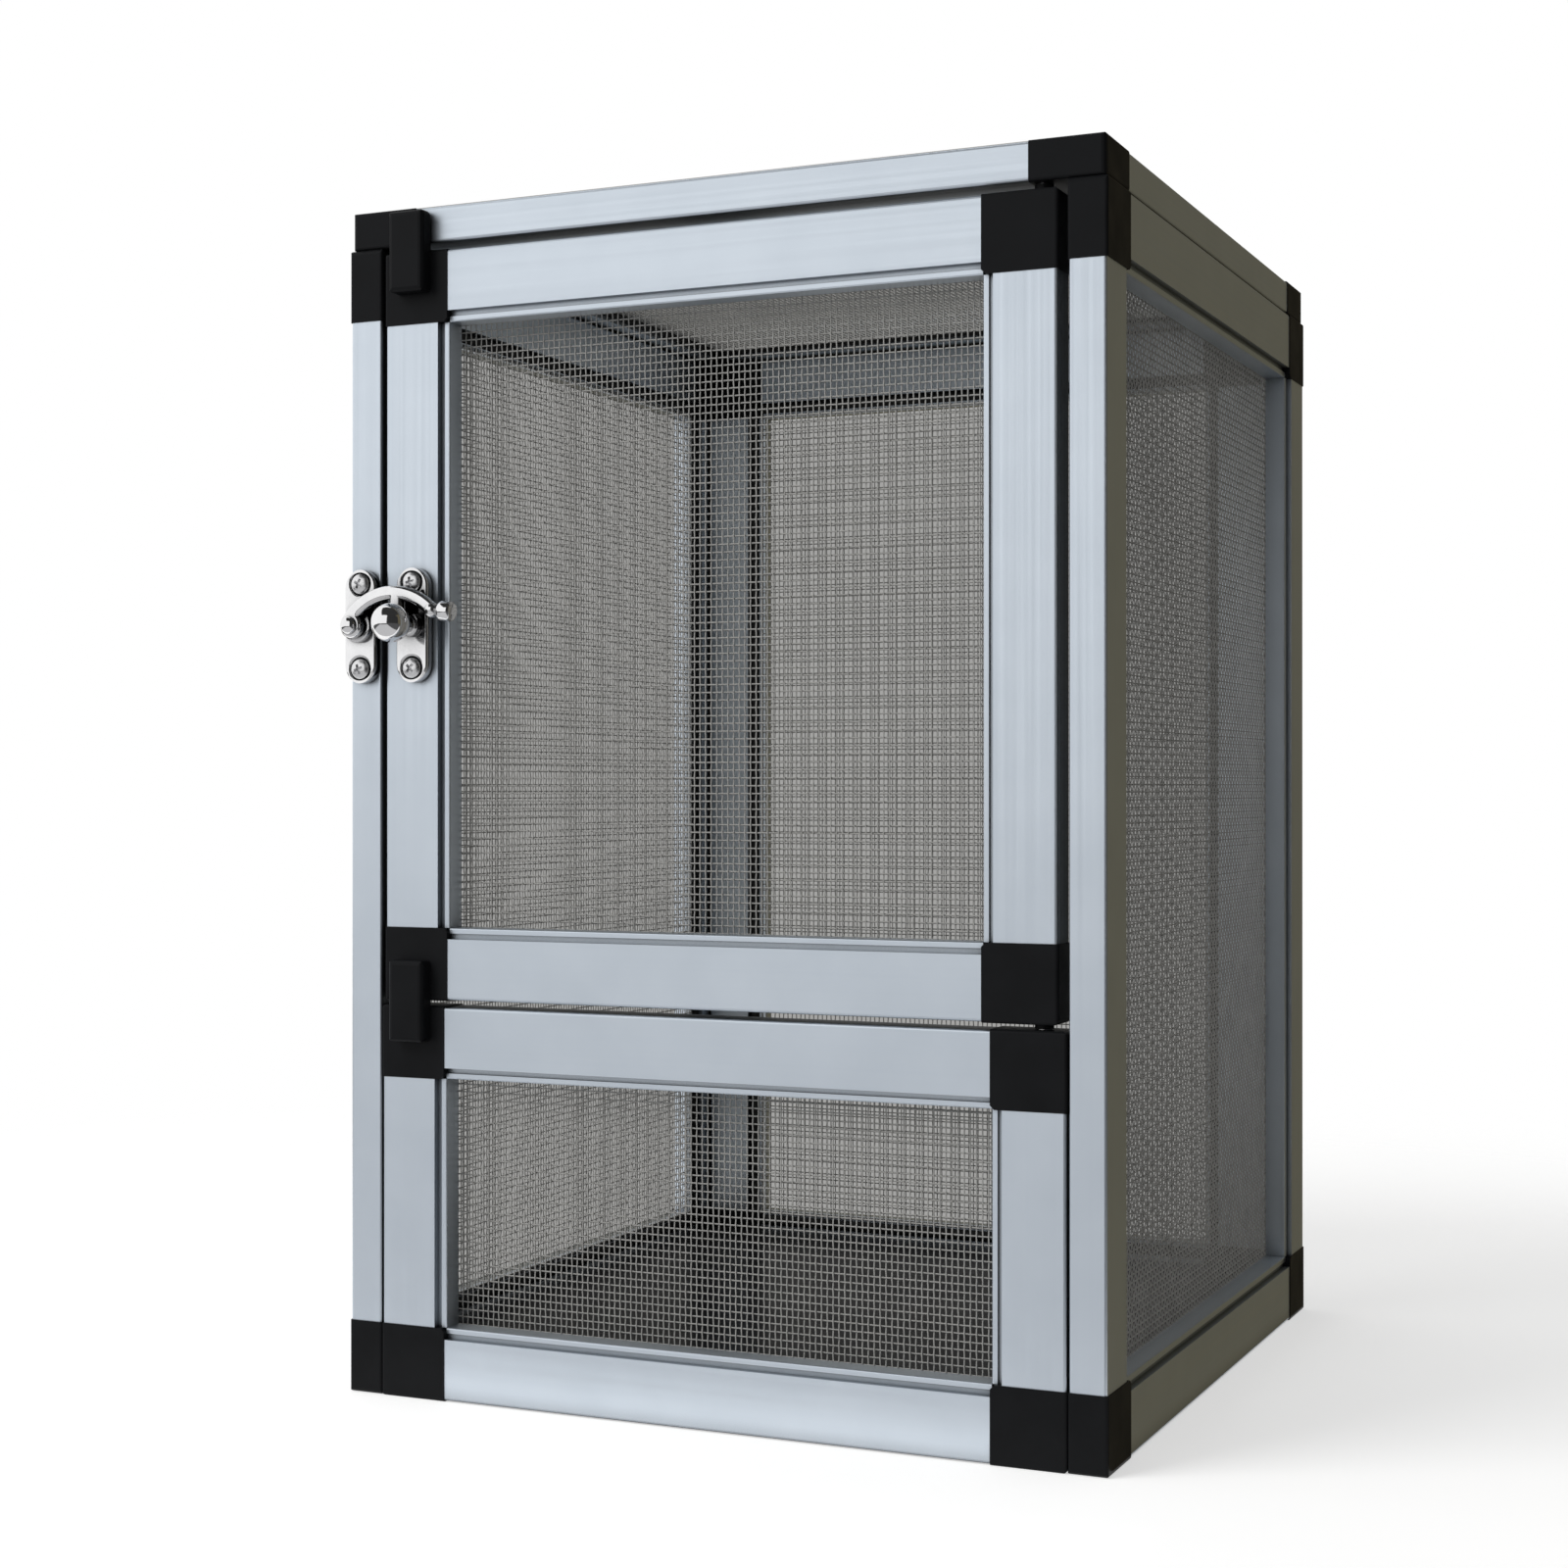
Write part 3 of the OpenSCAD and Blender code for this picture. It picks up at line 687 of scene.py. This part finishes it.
def screw_mesh():
    """A raised countersunk screw with a cross recess, standing in its plate."""
    plate_t = size("latch_catch_plate").y
    rim = plate_t - screw_sunk
    body = lathe([
        (0, -screw_l),
        (screw_shank_r * screw_tip_share, -screw_l),
        (screw_shank_r, -screw_straight),
        (screw_shank_r, plate_t - screw_cone),
        (screw_head_r, rim - screw_rim),
        (screw_head_r, rim),
        *dome(screw_head_r, screw_rise, rim, range(8, 90, 8)),
        (0, rim + screw_rise),
    ], 40)
    for cutter in cross_cutters(rim - recess_floor, rim + screw_rise + recess_over):
        body = cut(body, cutter)
    return body


def latch_screws(node_name, plate_name, body, turns):
    """The lower and the upper screw of a plate, each turned by its own angle."""
    meshes = []
    for end, turn in zip((-1, 1), turns):
        screw = screw_mesh()
        screw.transform(Matrix.Rotation(radians(turn), 4, "Z"))
        screw.transform(Matrix.Translation((0, end * screw_pitch / 2, 0)))
        meshes.append(screw)
    mesh = onto_front(joined(meshes), latch_place(plate_name))
    smooth(mesh, angle=30)
    add_piece(node_name + "_turned", mesh, body, node_name)


# Studio


def sheet_object(name, corners):
    """A four-cornered sheet in the scene."""
    mesh = bpy.data.meshes.new(name)
    mesh.from_pydata(corners, [], [(0, 1, 2, 3)])
    thing = bpy.data.objects.new(name, mesh)
    bpy.context.scene.collection.objects.link(thing)
    return thing


def flat_corners(half_w, half_h):
    return [(-half_w, -half_h, 0), (half_w, -half_h, 0), (half_w, half_h, 0), (-half_w, half_h, 0)]


def card(name, centre, width, height, colour, tilt=0, heading=0):
    """A card that only shows in shiny surfaces; a tilt of 90 stands it up."""
    thing = sheet_object(name, flat_corners(width / 2, height / 2))
    thing.location = centre
    thing.rotation_euler = (radians(tilt), 0, radians(heading))
    material, shader = principled(name, Base_Color=(0, 0, 0, 1), Specular_IOR_Level=0.0, Roughness=1.0)
    shader.inputs["Emission Color"].default_value = (*colour, 1)
    shader.inputs["Emission Strength"].default_value = 1
    thing.data.materials.append(material)
    thing.visible_camera = False
    thing.visible_diffuse = False
    thing.visible_transmission = False
    thing.visible_shadow = False


def seen_as_background(tree):
    """A socket that is 1 for rays that show the background, and 0 for those that carry light."""
    path = tree.nodes.new("ShaderNodeLightPath")
    seen = path.outputs[background_rays[0]]
    for ray in background_rays[1:]:
        either = tree.nodes.new("ShaderNodeMath")
        either.operation = "MAXIMUM"
        tree.links.new(seen, either.inputs[0])
        tree.links.new(path.outputs[ray], either.inputs[1])
        seen = either.outputs["Value"]
    return seen


def times(tree, source, factor):
    """The product of a socket and a number."""
    node = tree.nodes.new("ShaderNodeMath")
    node.operation = "MULTIPLY"
    node.inputs[1].default_value = factor
    tree.links.new(source, node.inputs[0])
    return node.outputs["Value"]


def mixed(tree, share, first, second):
    """A blend of two shaders, where a share of 1 shows only the second."""
    node = tree.nodes.new("ShaderNodeMixShader")
    tree.links.new(share, node.inputs["Fac"])
    tree.links.new(first, node.inputs[1])
    tree.links.new(second, node.inputs[2])
    return node.outputs["Shader"]


def studio_floor():
    """A pale floor that keeps the shadow and runs out into the white background."""
    floor = sheet_object("floor", flat_corners(floor_ends, floor_ends))
    colour = (*floor_colour, 1)
    material, shader = principled("floor", Base_Color=colour, Roughness=0.7, Specular_IOR_Level=0.2)
    tree = material.node_tree
    shader.inputs["Emission Color"].default_value = (1, 1, 1, 1)
    lift = times(tree, seen_as_background(tree), floor_lift)
    tree.links.new(lift, shader.inputs["Emission Strength"])
    place = tree.nodes.new("ShaderNodeTexCoord")
    length = tree.nodes.new("ShaderNodeVectorMath")
    length.operation = "LENGTH"
    tree.links.new(place.outputs["Object"], length.inputs[0])
    away = map_range(tree, length.outputs["Value"], From_Min=floor_fades, From_Max=floor_ends)
    away.interpolation_type = "SMOOTHSTEP"
    clear = tree.nodes.new("ShaderNodeBsdfTransparent")
    surface = mixed(tree, away.outputs["Result"], shader.outputs["BSDF"], clear.outputs["BSDF"])
    tree.links.new(surface, tree.nodes["Material Output"].inputs["Surface"])
    floor.data.materials.append(material)


def along(tree, direction):
    """How far a ray into the world points along a direction, from -1 to 1."""
    place = tree.nodes.new("ShaderNodeTexCoord")
    node = tree.nodes.new("ShaderNodeVectorMath")
    node.operation = "DOT_PRODUCT"
    node.inputs[1].default_value = direction
    tree.links.new(place.outputs["Generated"], node.inputs[0])
    return node.outputs["Value"]


def white_light(tree):
    """A white Background node."""
    node = tree.nodes.new("ShaderNodeBackground")
    node.inputs["Color"].default_value = (1, 1, 1, 1)
    return node


def studio_world():
    """Soft light, most of it from the left and above, on a white background."""
    world = bpy.data.worlds.new("studio")
    world.use_nodes = True
    tree = world.node_tree
    white = white_light(tree)
    soft = white_light(tree)
    facing = along(tree, Vector(light_from).normalized())
    level = map_range(tree, facing, From_Min=light_ends, From_Max=1, To_Min=light_far, To_Max=light_near)
    tree.links.new(level.outputs["Result"], soft.inputs["Strength"])
    seen = seen_as_background(tree)
    surface = mixed(tree, seen, soft.outputs["Background"], white.outputs["Background"])
    tree.links.new(surface, tree.nodes["World Output"].inputs["Surface"])
    bpy.context.scene.world = world


def shade_sheet_paint():
    """Painted shade: even glowing grey on the front of a sheet, and nothing on its back."""
    material = bpy.data.materials.new("shade_sheet")
    material.use_nodes = True
    tree = material.node_tree
    tree.nodes.remove(tree.nodes["Principled BSDF"])
    grey = tree.nodes.new("ShaderNodeEmission")
    grey.inputs["Color"].default_value = (*through_mesh_shade, 1)
    clear = tree.nodes.new("ShaderNodeBsdfTransparent")
    side = tree.nodes.new("ShaderNodeNewGeometry")
    surface = mixed(tree, side.outputs["Backfacing"], grey.outputs["Emission"], clear.outputs["BSDF"])
    tree.links.new(surface, tree.nodes["Material Output"].inputs["Surface"])
    return material


def place_shade_sheet(name, node_name, gap, inset):
    """A sheet of painted shade outside one panel of the cage, with its painted face towards the middle."""
    middle = (cad_box[0] + cad_box[1]) / 2
    low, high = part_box(node_name)
    extent = high - low
    thin = min(range(3), key=lambda axis: extent[axis])
    across, up = (thin + 1) % 3, (thin + 2) % 3
    outward = low[thin] > middle[thin]
    level = high[thin] + gap if outward else low[thin] - gap
    margin = Vector((inset, inset, inset))
    low, high = low + margin, high - margin
    corners = [(low, low), (high, low), (high, high), (low, high)]
    if outward:
        corners.reverse()
    points = []
    for first, second in corners:
        point = [level] * 3
        point[across] = first[across]
        point[up] = second[up]
        points.append(point)
    sheet = sheet_object(name, points)
    sheet.visible_diffuse = False
    sheet.visible_shadow = False
    return sheet


def add_shade_sheets():
    """Painted shade at the far panels: grey sheets outside the panels for the camera, and outside the meshes
    for the metal within to mirror.
    """
    paint = shade_sheet_paint()
    for panel in ("left_side", "back", "top"):
        seen = place_shade_sheet("shade_sheet_" + panel, panel + "_corner_keys", shade_sheet_gap, shade_sheet_inset)
        seen.visible_glossy = False
        mirrored = place_shade_sheet("mirrored_shade_" + panel, panel + "_mesh", mirrored_shade_gap, 0)
        mirrored.visible_camera = False
        mirrored.visible_transmission = False
        for sheet in (seen, mirrored):
            sheet.data.materials.append(paint)


def mirrored_room():
    """What the metal sees around it: dark walls, ceiling and ground, and paler ground at the front left."""
    card("card_back", (0.9, 1.3, 0.6), 4.4, 2.6, room_shade, tilt=90)
    card("card_right", (2.2, 0.2, 0.6), 2.6, 2.6, room_shade, tilt=90, heading=90)
    card("card_ground_right", (1.146, 0.716, 0.001), 2.108, 1.608, room_shade)
    card("card_ground_back", (-0.6, 0.72, 0.001), 1.4, 1.17, room_shade)
    card("card_above_right", (1.2, 0.6, 1.7), 2.6, 3.0, room_shade)
    card("card_above_front", (0.3, -0.9, 1.6), 2.6, 1.8, dark_shade)
    card("card_front", (1.4, -1.4, 0.85), 3.0, 3.1, dark_shade, tilt=90, heading=45)
    card("card_ground_front", (0, -0.95, 0.001), 3.0, 1.66, ground_shade)
    card("card_ground_left", (-0.24, -0.54, 0.002), 0.72, 0.84, pale_shade)


def softbox():
    """A lamp at the front left that lights the diffuse surfaces and isn't mirrored."""
    light = bpy.data.lights.new("softbox", "AREA")
    light.size = softbox_w
    light.energy = softbox_power
    lamp = bpy.data.objects.new("softbox", light)
    lamp.location = softbox_place
    lamp.rotation_euler = (Vector(softbox_aim) - Vector(softbox_place)).to_track_quat("-Z", "Y").to_euler()
    lamp.visible_glossy = False
    bpy.context.scene.collection.objects.link(lamp)


def studio_camera():
    camera = bpy.data.cameras.new("camera")
    camera.sensor_width = 36
    camera.lens = camera_lens
    view = bpy.data.objects.new("camera", camera)
    view.location = camera_place + Vector((0, mid("top_mesh").y, 0))
    view.rotation_euler = (radians(camera_tilt), 0, radians(camera_heading))
    bpy.context.scene.collection.objects.link(view)
    bpy.context.scene.camera = view


dress_cad_nodes()
for mesh_node in [name for name in nodes if name.endswith("_mesh")]:
    woven_mesh(mesh_node, "door" if mesh_node == "door_mesh" else "frame")
latch_plates()
latch_hook()
latch_rivet()
latch_catch_post()
latch_screws("latch_frame_screws", "latch_hook_plate", "frame", frame_screw_turns)
latch_screws("latch_door_screws", "latch_catch_plate", "door", door_screw_turns)

studio_floor()
add_shade_sheets()
studio_world()
mirrored_room()
softbox()
studio_camera()
bpy.context.scene.view_settings.view_transform = "Standard"
